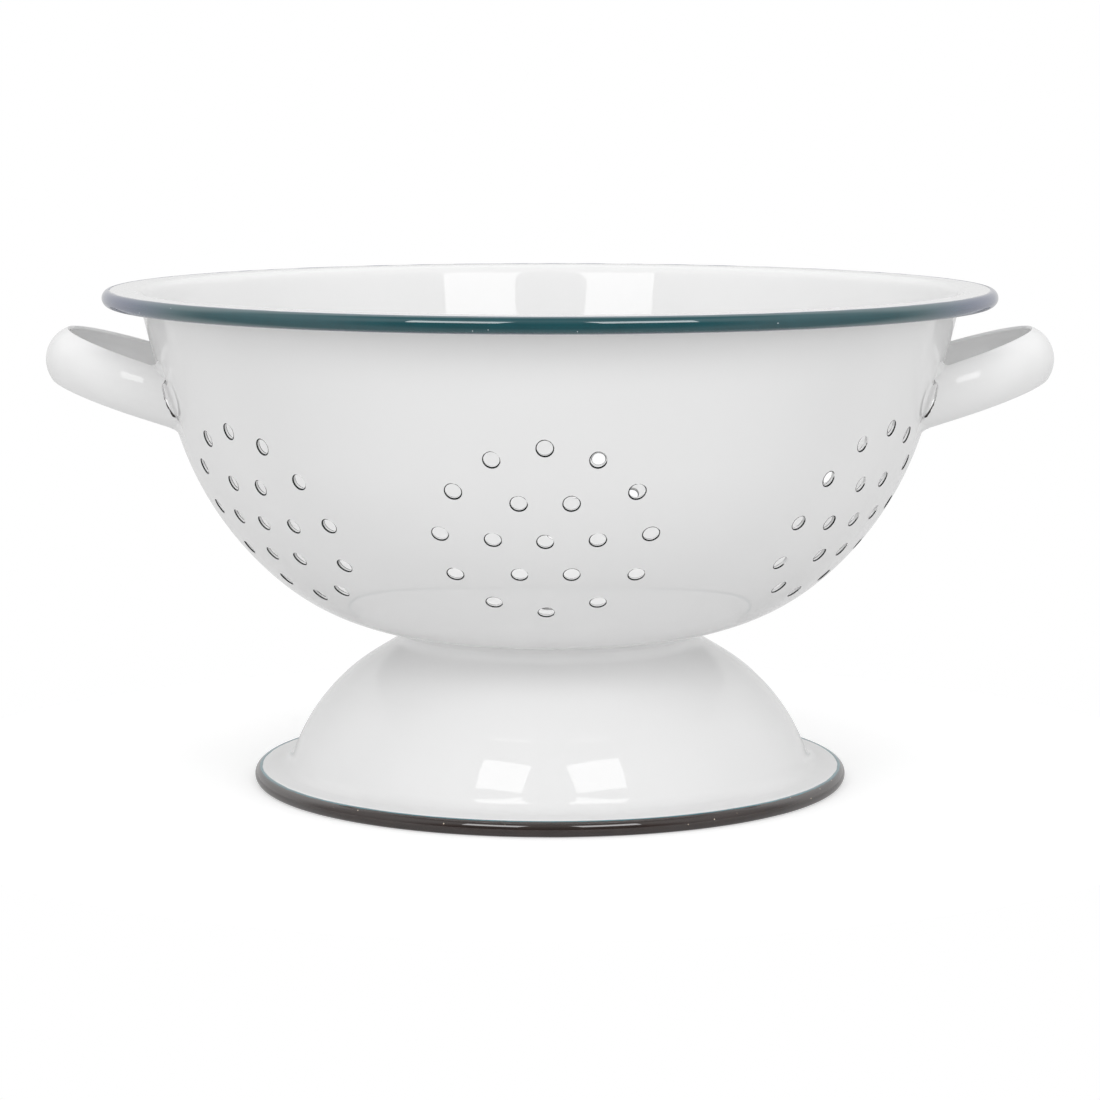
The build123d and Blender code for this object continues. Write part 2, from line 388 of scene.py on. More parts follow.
@dataclass(frozen=True)
class Outline:
    """Outer outline of a pressed sheet in the plane of radius and height."""

    start: tuple[float, float]
    heading: float
    pieces: tuple[Run | Bend, ...]

    def points(self, inset: float, step: float) -> list[Vector]:
        """Walks along the outline at a distance inside the sheet.

        Args:
            inset: Distance to the left of the outer outline.
            step: Longest distance between two points.

        Returns:
            Points as (radius, height).
        """
        way = self.heading
        line = [Vector(self.start) + ahead(way + 90) * inset]
        for piece in self.pieces:
            if isinstance(piece, Run):
                count = max(1, round(piece.length / step))
                for _ in range(count):
                    line.append(line[-1] + ahead(way) * (piece.length / count))
                continue
            side = 1 if piece.turn > 0 else -1
            radius = side * (piece.radius - side * inset)
            count = max(ARC_STEPS, round(abs(radians(piece.turn)) * piece.radius / step))
            centre = line[-1] + ahead(way + 90) * radius
            for k in range(1, count + 1):
                line.append(centre - ahead(way + piece.turn * k / count + 90) * radius)
            way += piece.turn
        return line


@dataclass(frozen=True)
class BowlShape:
    """Sizes of the deep drawn bowl, on its outer surface."""

    sheet: float = 1.0
    floor_height: float = 44.85
    floor_radius: float = 36.4
    heel: Bend = Bend(67.6, 40.3)
    belly: Bend = Bend(92.7, 30.4)
    wall: Bend = Bend(345.6, 7.15)
    flare_radius: float = 2.5
    lip: Run = Run(5.85)
    bead_radius: float = 2.3
    bead_curl: float = 270.0

    def outline(self) -> Outline:
        """Gives the outline from the axis to the end of the rim's curl.

        Returns:
            The outer outline.
        """
        flare_turn = self.heel.turn + self.belly.turn + self.wall.turn
        return Outline(
            (0.0, self.floor_height),
            0.0,
            (
                Run(self.floor_radius),
                self.heel,
                self.belly,
                self.wall,
                Bend(self.flare_radius, -flare_turn),
                self.lip,
                Bend(self.bead_radius - self.sheet, -self.bead_curl),
            ),
        )

    def wall_arcs(self) -> list[tuple[Vector, float, float, float]]:
        """Measures the curves of the wall.

        Returns:
            Centre, radius, first slope and last slope in degrees of each.
        """
        arcs = []
        slope = 0.0
        place = Vector((self.floor_radius, self.floor_height))
        for bend in (self.heel, self.belly, self.wall):
            centre = place + ahead(slope + 90) * bend.radius
            arcs.append((centre, bend.radius, slope, slope + bend.turn))
            slope += bend.turn
            place = centre - ahead(slope + 90) * bend.radius
        return arcs

    def at_slope(self, slope: float) -> Vector:
        """Finds where the outer wall has a slope.

        Args:
            slope: Slope in degrees.

        Returns:
            The point as (radius, height).
        """
        for centre, radius, first, last in self.wall_arcs():
            if first <= slope <= last:
                return centre - ahead(slope + 90) * radius
        raise ValueError(f"the wall has no slope of {slope}")

    def depth(self, place: Vector) -> float:
        """Measures how far a point lies inside the bowl's outer surface.

        Args:
            place: A point in millimetres.

        Returns:
            Distance under the outer surface, minus outside it.
        """
        radius = place.xy.length
        if radius <= self.floor_radius:
            return place.z - self.floor_height
        here = Vector((radius, place.z))
        result = 0.0
        for centre, arc_radius, first, last in self.wall_arcs():
            result = arc_radius - (here - centre).length
            slope = degrees(acos(max(-1.0, min(1.0, (centre - here).normalized().y))))
            if slope <= last:
                break
        return result

    def reach(self, start: Vector, way: Vector, depth: float = 0.0) -> Vector:
        """Slides a point along a direction until it lies at a depth under the outer surface.

        Args:
            start: Point to slide, in millimetres.
            way: Direction that leads out of the bowl.
            depth: Depth to stop at.

        Returns:
            The point where it stops.
        """
        place = start.copy()
        for _ in range(SLIDE_STEPS):
            place += way * (self.depth(place) - depth) * SLIDE_SHARE
        return place

    def bead_centre(self) -> Vector:
        """Finds the middle of the rim's curl.

        Returns:
            The point as (radius, height).
        """
        outline = self.outline()
        before_curl = Outline(outline.start, outline.heading, outline.pieces[:-1])
        end = before_curl.points(self.sheet, 1.0)[-1]
        return Vector((end.x, end.y - self.bead_radius))


def mesh_object(name: str, form: BMesh, smooth: bool = True) -> Object:
    """Writes a bmesh, in millimetres, to a new object in metres.

    Args:
        name: Name of the piece.
        form: The shape, which is freed.
        smooth: Whether its faces are shaded smooth.

    Returns:
        The object, at the origin.
    """
    bmesh.ops.scale(form, vec=(MM, MM, MM), verts=form.verts)
    mesh = bpy.data.meshes.new(name)
    form.to_mesh(mesh)
    form.free()
    mesh.polygons.foreach_set("use_smooth", [smooth] * len(mesh.polygons))
    piece = bpy.data.objects.new(name, mesh)
    bpy.context.collection.objects.link(piece)
    return piece


def spin_outline(line: list[Vector], closed: bool, segments: int) -> BMesh:
    """Turns a line of (radius, height) points once about the axis.

    Args:
        line: The points, in millimetres.
        closed: Whether the last point joins the first.
        segments: Steps of the turn.

    Returns:
        The turned shape, with its faces pointing outwards.
    """
    form = bmesh.new()
    dots = [form.verts.new((p.x, 0.0, p.y)) for p in line]
    pairs = list(zip(dots, dots[1:])) + ([(dots[-1], dots[0])] if closed else [])
    bmesh.ops.spin(
        form,
        geom=dots + [form.edges.new(pair) for pair in pairs],
        cent=(0, 0, 0),
        axis=(0, 0, 1),
        angle=2 * pi,
        steps=segments,
        use_merge=True,
    )
    bmesh.ops.remove_doubles(form, verts=form.verts, dist=1e-4)
    bmesh.ops.recalc_face_normals(form, faces=form.faces)
    return form


def extrude_row(form: BMesh, row: list[BMVert], closed: bool) -> list[BMVert]:
    """Extrudes a row of joined points.

    Args:
        form: The shape.
        row: The points, in order.
        closed: Whether the last point joins the first.

    Returns:
        The new row, in the same order and still in the old row's place.
    """
    pairs = list(zip(row, row[1:])) + ([(row[-1], row[0])] if closed else [])
    edges = [form.edges.get(pair) or form.edges.new(pair) for pair in pairs]
    made = set(bmesh.ops.extrude_edge_only(form, edges=edges)["geom"])
    return [
        next(edge.other_vert(dot) for edge in dot.link_edges if edge.other_vert(dot) in made)
        for dot in row
    ]


def applied(piece: Object) -> None:
    """Puts the result of a piece's modifiers into its mesh.

    Args:
        piece: The object, whose modifiers are then removed.
    """
    graph = bpy.context.evaluated_depsgraph_get()
    graph.update()
    result = bpy.data.meshes.new_from_object(
        piece.evaluated_get(graph), preserve_all_data_layers=True, depsgraph=graph
    )
    piece.modifiers.clear()
    piece.data = result


def set_attribute(piece: Object, name: str, measure: Callable[[Vector], float]) -> None:
    """Writes a number for each point of a mesh, which its material reads.

    Args:
        piece: The object.
        name: Name of the attribute.
        measure: Gives the number from the point's place in millimetres.
    """
    layer = piece.data.attributes.new(name, "FLOAT", "POINT")
    layer.data.foreach_set("value", [measure(v.co / MM) for v in piece.data.vertices])


def hand_over(piece: Object, material: Material, node: str) -> None:
    """Dresses a finished piece and puts it in the frame in place of its CAD node.

    Args:
        piece: The object.
        material: Its finish.
        node: CAD node that it stands for.
    """
    piece.data.materials.clear()
    piece.data.materials.append(material)
    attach(piece, BODY)
    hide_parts(node)
    LOG.info("%s: %d faces", piece.name, len(piece.data.polygons))


@dataclass(frozen=True)
class Cluster:
    """One group of drain holes: its middle, its two ways in the wall and its way out."""

    name: str
    origin: Vector
    across: Vector
    up: Vector
    out: Vector


@dataclass
class PunchedBowl:
    """The bowl, its drain holes and the ground enamel on their edges."""

    shape: BowlShape = BowlShape()
    hole_radius: float = 2.5
    hole_lining: float = 0.12
    lining_lap: float = 0.03
    edge_swell: float = 0.2
    inner_ring: float = 14.0
    outer_ring: float = 28.2
    cluster_slope: float = 58.7
    turns: tuple[tuple[str, float], ...] = (
        ("front", -0.7),
        ("front_right", 59.0),
        ("back_right", 120.0),
        ("back", 179.0),
        ("back_left", 240.0),
        ("front_left", 307.0),
    )
    segments: int = 288
    step: float = 1.9
    punch_reach: float = 12.0
    hole_steps: int = 24
    # The hole edges are painted darker on the side away from light_side: painted shade added to
    # the ground enamel's dark lines.
    light_side: tuple[float, float] = (0.55, 0.83)
    upper_dark: float = 0.66
    painted_shade_dark: float = 0.5
    hole_chance: float = 0.22
    chance_scale: float = 0.11

    def clusters(self) -> list[Cluster]:
        """Gives the frames of the holes.

        Returns:
            The six wall clusters and the one in the floor.
        """
        spot = self.shape.at_slope(self.cluster_slope)
        rise = ahead(self.cluster_slope)
        result = []
        for name, turn in self.turns:
            way = ahead(turn - 90)
            origin = Vector((*(way * spot.x), spot.y))
            up = Vector((*(way * rise.x), rise.y))
            out = Vector((*(way * rise.y), -rise.x))
            result.append(Cluster(name, origin, ahead(turn).to_3d(), up, out))
        floor = Vector((0, 0, self.shape.floor_height))
        result.append(
            Cluster("bottom", floor, Vector((1, 0, 0)), Vector((0, -1, 0)), Vector((0, 0, -1)))
        )
        return result

    def hole_places(self, cluster: Cluster) -> list[Vector]:
        """Lays out a cluster's holes.

        Args:
            cluster: The cluster.

        Returns:
            Their middles in the cluster's plane.
        """
        spots = [Vector((0.0, 0.0))]
        for radius, count in ((self.inner_ring, 6), (self.outer_ring, 12)):
            spots += [ahead(360 * k / count) * radius for k in range(count)]
        return [cluster.origin + cluster.across * x + cluster.up * y for x, y in spots]

    def build_shell(self) -> Object:
        """Builds the punched bowl with the smooth shading of the bowl before punching.

        Returns:
            The object.
        """
        outline = self.shape.outline()
        outer = outline.points(0.0, self.step)
        inner = outline.points(self.shape.sheet, self.step)
        line = outer + inner[::-1]
        shell = mesh_object("bowl_shell", spin_outline(line, False, self.segments))
        unpunched = bpy.data.objects.new("bowl_before_punching", shell.data.copy())
        punches = bmesh.new()
        for cluster in self.clusters():
            turn = Matrix((cluster.across, cluster.up, cluster.out)).transposed().to_4x4()
            for place in self.hole_places(cluster):
                bmesh.ops.create_cone(
                    punches,
                    cap_ends=True,
                    segments=self.hole_steps,
                    radius1=self.hole_radius,
                    radius2=self.hole_radius,
                    depth=2 * self.punch_reach,
                    matrix=Matrix.Translation(place) @ turn,
                )
        bmesh.ops.recalc_face_normals(punches, faces=punches.faces)
        tool = mesh_object("punches", punches, smooth=False)
        bpy.context.collection.objects.link(unpunched)
        punch = shell.modifiers.new("punch", "BOOLEAN")
        punch.operation = "DIFFERENCE"
        punch.solver = "MANIFOLD"
        punch.object = tool
        applied(shell)
        shade = shell.modifiers.new("shade", "DATA_TRANSFER")
        shade.object = unpunched
        shade.use_loop_data = True
        shade.data_types_loops = {"CUSTOM_NORMAL"}
        shade.loop_mapping = "POLYINTERP_NEAREST"
        applied(shell)
        for helper in (tool, unpunched):
            bpy.data.objects.remove(helper)
        return shell

    def build_edges(self, cluster: Cluster) -> Object:
        """Builds the coated edges of one cluster's holes.

        Args:
            cluster: The cluster.

        Returns:
            The object, with its attribute dark highest on the lower outer edges, where painted
            shade is added on the side away from the light.
        """
        bore = self.hole_radius - self.hole_lining
        neck = bore - self.edge_swell
        lip = self.hole_radius + self.lining_lap
        sheet = self.shape.sheet
        # Radius, depth under the bowl's outer face and darkness, along the ring's section.
        section = (
            (lip, 0.06, 0.2),
            (lip, -0.01, 0.3),
            (lip - 0.08, -0.03, 0.8),
            (neck + 0.08, -0.03, 1.1),
            (neck, 0.05, 1.1),
            (neck, 0.28, 1.0),
            (bore, 0.4, 0.5),
            (bore, 0.52, 0.1),
            (bore, sheet - 0.24, 0.1),
            (bore - 0.02, sheet - 0.1, 0.8),
            (bore + 0.02, sheet + 0.02, 0.95),
            (lip, sheet + 0.01, 0.3),
            (lip, sheet - 0.06, 0.3),
        )
        line = [Vector((radius, depth)) for radius, depth, _ in section]
        form = spin_outline(line, True, self.hole_steps)
        dark = form.verts.layers.float.new("dark")
        template = list(form.verts) + list(form.edges) + list(form.faces)
        shares = {}
        for dot in form.verts:
            here = Vector((dot.co.xy.length, dot.co.z))
            nearest = min(range(len(line)), key=lambda k: (line[k] - here).length)
            shares[dot] = (dot.co.copy(), section[nearest][2])
        for place in self.hole_places(cluster):
            chance = self.hole_chance * noise.noise(place * self.chance_scale)
            copy = bmesh.ops.duplicate(form, geom=template)
            for old, (spot, share) in shares.items():
                new = copy["vert_map"][old]
                start = place + cluster.across * spot.x + cluster.up * spot.y
                new.co = self.shape.reach(start, cluster.out, spot.z)
                # Painted shade: the edge grows darker on the side facing away from light_side.
                low = 0.5 - 0.5 * spot.xy.normalized().dot(Vector(self.light_side))
                new[dark] = share * (self.upper_dark + self.painted_shade_dark * low) + chance
        bmesh.ops.delete(form, geom=[g for g in template if isinstance(g, BMVert)])
        bmesh.ops.recalc_face_normals(form, faces=form.faces)
        return mesh_object(f"coated_hole_edges_{cluster.name}", form)

    def dress(self, white: Material, ground: Material) -> None:
        """Builds and hands over the bowl and its hole edges.

        Args:
            white: Finish of the bowl.
            ground: Finish of the hole edges.
        """
        hand_over(self.build_shell(), white, "bowl")
        for cluster in self.clusters():
            piece = self.build_edges(cluster)
            hand_over(piece, ground, f"hole_edges_{cluster.name}")


@dataclass
class CoatedEdge:
    """Coloured enamel over a curled edge: a thin shell round part of the curl."""

    name: str
    centre: Vector
    bead_radius: float
    lower_angle: float
    upper_angle: float
    ragged: float
    coat: float = 0.15
    lap: float = 0.02
    border: float = 0.05
    feather: float = 0.16
    lower_steepness: float = 2.5
    ragged_from: float = 0.7
    ragged_scale: float = 0.16
    ragged_apart: float = 40.0
    # Where the coat is painted paler towards the handles, as a painted reflection of the bright
    # sides.
    painted_sheen_from: float = 98.0
    painted_sheen_to: float = 121.0
    painted_sheen_share: float = 0.8
    segments: int = 320
    steps: int = 20

    def build(self) -> Object:
        """Builds the coat, with its two borders slightly uneven.

        Returns:
            The object, with its attributes across and thin, the latter a painted reflection of
            the bright sides towards the handles.
        """
        outer, inner = [], []
        for k in range(self.steps + 1):
            span = self.upper_angle - self.lower_angle
            way = ahead(self.lower_angle + span * k / self.steps)
            rest = min(k * self.lower_steepness, self.steps - k) / self.steps
            thick = self.coat * min(1.0, self.border + rest / self.feather)
            outer.append(self.centre + way * (self.bead_radius + thick))
            inner.append(self.centre + way * (self.bead_radius - self.lap))
        form = spin_outline(outer + inner[::-1], True, self.segments)
        for dot in form.verts:
            out_way = dot.co.xy.normalized()
            here = Vector((dot.co.xy.length, dot.co.z)) - self.centre
            share = self.share(dot.co)
            edge = max(0.0, abs(2 * share - 1) - self.ragged_from) / (1 - self.ragged_from)
            spot = Vector((dot.co.x, dot.co.y, self.ragged_apart * share)) * self.ragged_scale
            shift = self.ragged * edge * noise.noise(spot) / self.bead_radius
            place = self.centre + Matrix.Rotation(shift, 2) @ here
            dot.co = Vector((out_way.x * place.x, out_way.y * place.x, place.y))
        piece = mesh_object(self.name, form)
        set_attribute(piece, "across", self.share)
        set_attribute(piece, "thin", self.painted_side_sheen)
        return piece

    def share(self, place: Vector) -> float:
        """Measures how far up the coat a point lies.

        Args:
            place: The point in millimetres.

        Returns:
            0 at the lower border to 1 at the upper one.
        """
        here = Vector((place.xy.length, place.z)) - self.centre
        angle = degrees(here.angle_signed(Vector((1, 0))))
        return (angle - self.lower_angle) / (self.upper_angle - self.lower_angle)

    def painted_side_sheen(self, place: Vector) -> float:
        """Measures how strongly a painted reflection of the bright sides pales the coat towards
        the handles.

        Args:
            place: A point in millimetres.

        Returns:
            0 where none is painted, growing towards the handles.
        """
        way = (abs(place.x) - self.painted_sheen_from) / (self.painted_sheen_to - self.painted_sheen_from)
        way = max(0.0, min(1.0, way))
        return self.painted_sheen_share * way * way * (3 - 2 * way)


@dataclass
class PressedFoot:
    """The foot with its curled edge, and the weld bead under the bowl."""

    sheet: float = 1.0
    bead_radius: float = 2.3
    bead_place: float = 85.0
    flat: float = 0.1
    flange_slope: float = 5.0
    flange: Run = Run(5.0)
    fillet_radius: float = 5.0
    steepest: float = 70.2
    dome_radius: float = 55.9
    shoulder_slope: float = 31.4
    shoulder: Run = Run(7.4)
    neck_radius: float = 3.6
    collar: Run = Run(1.5)
    weld_leg: float = 2.2
    weld_flatness: float = 0.85
    weld_lap: float = 0.05
    weld_sink: float = 0.03
    weld_core: tuple[float, float] = (-0.3, 0.2)
    weld_steps: int = 8
    segments: int = 288
    step: float = 1.5

    def outline(self) -> Outline:
        """Gives the outline from the curl's free end to the collar.

        Returns:
            The outer outline.
        """
        return Outline(
            (self.bead_place - self.bead_radius, self.bead_radius - self.flat),
            -90.0,
            (
                Bend(self.bead_radius, 270 - self.flange_slope),
                self.flange,
                Bend(self.fillet_radius, self.flange_slope - self.steepest),
                Bend(self.dome_radius, self.steepest - self.shoulder_slope),
                self.shoulder,
                Bend(self.neck_radius, self.shoulder_slope - 90),
                self.collar,
            ),
        )

    def bead_centre(self) -> Vector:
        """Gives the middle of the edge's curl as (radius, height)."""
        return Vector((self.bead_place, self.bead_radius - self.flat))

    def build(self) -> Object:
        """Builds the pressing, worn flat where it stands.

        Returns:
            The object.
        """
        outline = self.outline()
        line = outline.points(0.0, self.step) + outline.points(self.sheet, self.step)[::-1]
        form = spin_outline(line, True, self.segments)
        for dot in form.verts:
            dot.co.z = max(dot.co.z, 0.0)
        return mesh_object("foot_pressing", form)

    def build_weld(self, bowl: BowlShape) -> Object:
        """Builds the bead in the corner between the collar and the bowl.

        Args:
            bowl: The bowl that it meets.

        Returns:
            The object.
        """
        top = self.outline().points(0.0, self.step)[-1]
        down = Vector((0, 0, -1))
        line = []
        for k in range(self.weld_steps + 1):
            angle = pi / 2 * k / self.weld_steps
            radius = top.x - self.weld_lap + self.weld_leg * (1 - cos(angle))
            drop = self.weld_leg * (1 - sin(angle)) * self.weld_flatness
            under = bowl.reach(Vector((radius, 0, top.y)), down)
            line.append(Vector((radius, under.z - drop + self.weld_sink)))
        radius = top.x + self.weld_core[0]
        under = bowl.reach(Vector((radius, 0, top.y)), down)
        line.append(Vector((radius, under.z + self.weld_core[1])))
        form = spin_outline(line, True, self.segments)
        return mesh_object("foot_weld_bead", form)


@dataclass
class StrapHandle:
    """A half-round strap bent to a loop, with its welds to the bowl."""

    side: Side
    bowl: BowlShape
    tip_place: float = 143.28
    tip_height: float = 126.42
    rise: float = 17.8
    bend_radius: float = 30.5
    section_radius: float = 9.85
    section_half_angle: float = 52.2
    sheet: float = 1.0
    edge_radius: float = 0.42
    edge_angle: float = 50.0
    edge_segments: int = 3
    gap_half_height: float = 4.8
    gap_half_width: float = 2.6
    # The bare mark at the cut ends: dark ground enamel, made darker towards the strap's lower
    # edge as painted shade.
    scar_share: float = 0.95
    scar_level: float = 0.62
    painted_shade_fall: float = 0.05
    weld_out: float = 2.6
    weld_in: float = 4.2
    weld_out_cover: float = 0.38
    weld_in_cover: float = 0.5
    weld_sink: float = 0.04
    weld_core: float = 0.25
    weld_core_sink: float = 0.3
    section_steps: int = 26
    leg_start: float = 20.0
    leg_steps: int = 10
    leg_spacing: float = 1.4
    bend_steps: int = 60
    weld_steps: int = 8
    weld_out_steps: int = 9
    weld_in_steps: int = 12

    @property
    def word(self) -> str:
        """Names the side that the handle is on."""
        return self.side.name.lower()

    def frame(self) -> Matrix:
        """Gives the frame of the right-hand handle.

        Returns:
            X out along the loop, Y sideways and Z across the strap.
        """
        tilt = radians(self.rise)
        turn = Matrix(
            ((cos(tilt), 0, -sin(tilt)), (0, 1, 0), (sin(tilt), 0, cos(tilt)))
        ).to_4x4()
        return Matrix.Translation((self.tip_place, 0, self.tip_height)) @ turn

    def section(self, angle: float, radius: float) -> Vector:
        """Gives a point of the strap's section as its bulge and its place across the strap."""
        inset = self.section_radius * cos(radians(self.section_half_angle))
        return ahead(angle) * radius - Vector((inset, 0.0))

    def on_leg(self, along: float, bulge: float, across: float) -> Vector:
        """Gives a point of the front leg, a distance out from where the leg ends."""
        spot = Vector((-self.bend_radius - along, -self.bend_radius - bulge, across))
        return self.frame() @ spot

    def leg_length(self, bulge: float, across: float) -> float:
        """Measures the leg at one point of its section.

        Args:
            bulge: How far the point bulges out.
            across: Its place across the strap.

        Returns:
            Length from the bend to the bowl.
        """
        start = self.on_leg(self.leg_start, bulge, across)
        way = (self.frame().to_3x3() @ Vector((1, 0, 0))).normalized()
        return (self.on_leg(0.0, bulge, across) - self.bowl.reach(start, way)).length

    def gap(self, across: float) -> float:
        """Gives the width of the drain gap between the strap's end and the bowl."""
        share = min(1.0, abs(across) / self.gap_half_height)
        return self.gap_half_width * sqrt(1 - share**2)

    def path(self) -> list[tuple[float, Vector, Vector]]:
        """Gives stations along half the loop, from the leg's end to the tip.

        Returns:
            For each station its share of the leg that is still to go, the point on the
            loop and the direction that the strap bulges in, both in the loop's plane.
        """
        stations = []
        for k in range(self.leg_steps):
            place = Vector((-self.bend_radius, -self.bend_radius))
            share = (1 - k / self.leg_steps) ** self.leg_spacing
            stations.append((share, place, Vector((0, -1))))
        for k in range(self.bend_steps // 2 + 1):
            way = ahead(180 * k / self.bend_steps - 90)
            stations.append((0.0, Vector((-self.bend_radius, 0)) + way * self.bend_radius, way))
        return stations

    def build_strap(self) -> Object:
        """Builds the strap with rounded edges and ends that follow the bowl.

        Returns:
            The object, with its attribute bare over the middle of both ends, raised towards the
            lower edge as painted shade.
        """
        stations = self.path()
        stations += [
            (share, Vector((p.x, -p.y)), Vector((w.x, -w.y))) for share, p, w in stations[-2::-1]
        ]
        half = self.section_half_angle
        frame = self.frame()
        form = bmesh.new()
        bare = form.verts.layers.float.new("bare")
        row: list[BMVert] = []
        for share, point, way in stations:
            if row:
                row = extrude_row(form, row, closed=False)
            else:
                row = [form.verts.new() for _ in range(self.section_steps + 1)]
            for k, dot in enumerate(row):
                angle = -half + 2 * half * k / self.section_steps
                bulge, across = self.section(angle, self.section_radius)
                if share > 0:
                    length = self.leg_length(bulge, across) - self.gap(across)
                    spot = Vector((point.x - length * share, point.y + way.y * bulge, across))
                else:
                    spot = Vector((*(point + way * bulge), across))
                dot.co = frame @ spot
                # Painted shade: the bare mark is raised towards the lower edge of the strap's
                # end.
                scarred = share == 1 and abs(across) < self.gap_half_height * self.scar_share
                dot[bare] = self.scar_level - self.painted_shade_fall * across if scarred else 0.0
        bmesh.ops.recalc_face_normals(form, faces=form.faces)
        middle = form.faces[:][len(form.faces) // 2]
        if middle.normal.x < 0:
            bmesh.ops.reverse_faces(form, faces=form.faces)
        if self.side is Side.LEFT:
            bmesh.ops.scale(form, vec=(-1, 1, 1), verts=form.verts)
            bmesh.ops.reverse_faces(form, faces=form.faces)
        strap = mesh_object(f"{self.word}_handle_strap", form)
        solid = strap.modifiers.new("sheet", "SOLIDIFY")
        solid.thickness = self.sheet * MM
        solid.offset = -1.0
        solid.use_even_offset = True
        rounding = strap.modifiers.new("rounding", "BEVEL")
        rounding.width = self.edge_radius * MM
        rounding.segments = self.edge_segments
        rounding.limit_method = "ANGLE"
        rounding.angle_limit = radians(self.edge_angle)
        applied(strap)
        return strap

    def weld_side(
        self, outer: bool, cover: float, size: float, taper: tuple[float, float], count: int
    ) -> list[tuple[Vector, Vector, float]]:
        """Follows a corner weld along one face of the strap.

        Args:
            outer: Whether it is the outer face.
            cover: Share of the half section that the weld covers.
            size: Its full leg.
            taper: Share of the leg at its thin end, and how fast it grows from there.
            count: Number of stations.

        Returns:
            Stations from its thin end to the strap's edge, each with its point on the
            face, the way off the face and the weld's leg there.
        """
        path = []
        for k in range(count):
            way = k / (count - 1)
            angle = self.section_half_angle * (1 - cover * (1 - way))
            spot = self.section(angle, self.section_radius - (0 if outer else self.sheet))
            leg = size * min(1.0, taper[0] + taper[1] * way)
            path.append((spot, ahead(angle) * (1 if outer else -1), leg))
        return path

    def add_weld(self, form: BMesh, upper: bool) -> None:
        """Adds the enamelled fillet round one corner of the front leg's end.

        Args:
            form: Shape to add it to, of the right-hand handle.
            upper: Whether it is the upper corner.
        """
        sign = 1 if upper else -1
        half = self.section_half_angle
        path = self.weld_side(
            True, self.weld_out_cover, self.weld_out, (0.12, 1.5), self.weld_out_steps
        )
        rim = self.section(half, self.section_radius - self.sheet / 2)
        for k in range(1, self.weld_steps):
            off = ahead(half + 180 * k / self.weld_steps)
            leg = self.weld_out + (self.weld_in - self.weld_out) * k / self.weld_steps
            path.append((rim + off * self.sheet / 2, off, leg))
        path += self.weld_side(
            False, self.weld_in_cover, self.weld_in, (0.1, 1.6), self.weld_in_steps
        )[::-1]
        row: list[BMVert] = []
        for spot, off, leg in path:
            if row:
                row = extrude_row(form, row, closed=True)
            else:
                row = [form.verts.new() for _ in range(self.weld_steps + 2)]
            for k, dot in enumerate(row[:-1]):
                turn = pi / 2 * k / self.weld_steps
                place = spot + off * (leg * (1 - cos(turn)) - self.weld_sink)
                length = self.leg_length(place.x, sign * place.y)
                along = length - leg * (1 - sin(turn)) + self.weld_sink
                dot.co = self.on_leg(along, place.x, sign * place.y)
            core = spot - off * self.weld_core
            length = self.leg_length(core.x, sign * core.y)
            row[-1].co = self.on_leg(length + self.weld_core_sink, core.x, sign * core.y)
        bmesh.ops.holes_fill(form, edges=[edge for edge in form.edges if edge.is_boundary])

    def build_welds(self, end: End) -> Object:
        """Builds the two corner welds of one end of the strap.

        Args:
            end: The end.

        Returns:
            The object.
        """
        form = bmesh.new()
        for upper in (True, False):
            self.add_weld(form, upper)
        bmesh.ops.scale(form, vec=(self.side.value, end.value, 1), verts=form.verts)
        bmesh.ops.recalc_face_normals(form, faces=form.faces)
        return mesh_object(f"{self.word}_handle_{end.name.lower()}_fillets", form)

    def dress(self, white: Material) -> None:
        """Builds and hands over the strap and its welds.

        Args:
            white: Their finish.
        """
        hand_over(self.build_strap(), white, f"handle_{self.word}")
        for end in End:
            node = f"handle_{self.word}_{end.name.lower()}_welds"
            hand_over(self.build_welds(end), white, node)


@dataclass(frozen=True)
class SoftBox:
    """A large rectangular white studio lamp that faces a point low on the object's front."""

    name: str
    azimuth: float
    elevation: float
    width: float
    height: float
    distance: float = 0.9
    radiance: float = 2.85
    aim: tuple[float, float, float] = (0.0, -0.07, 0.015)

    def place(self) -> None:
        """Adds the lamp."""
        lamp = bpy.data.lights.new(self.name, "AREA")
        lamp.shape = "RECTANGLE"
        lamp.size = self.width
        lamp.size_y = self.height
        lamp.energy = self.radiance * pi * self.width * self.height
        piece = bpy.data.objects.new(self.name, lamp)
        bpy.context.collection.objects.link(piece)
        turn, lift = radians(self.azimuth), radians(self.elevation)
        way = Vector((sin(turn) * cos(lift), -cos(turn) * cos(lift), sin(lift)))
        piece.location = way * self.distance + Vector(self.aim)
        piece.rotation_euler = way.to_track_quat("Z", "Y").to_euler()


@dataclass(frozen=True)
class Level:
    """Brightness of the surroundings at one height, towards the front, sides and back."""

    front: float
    side: float
    back: float


@dataclass(frozen=True)
class Air:
    """Brightness of the surroundings at all heights."""

    below: Level
    low: Level
    high: Level
    top: Level


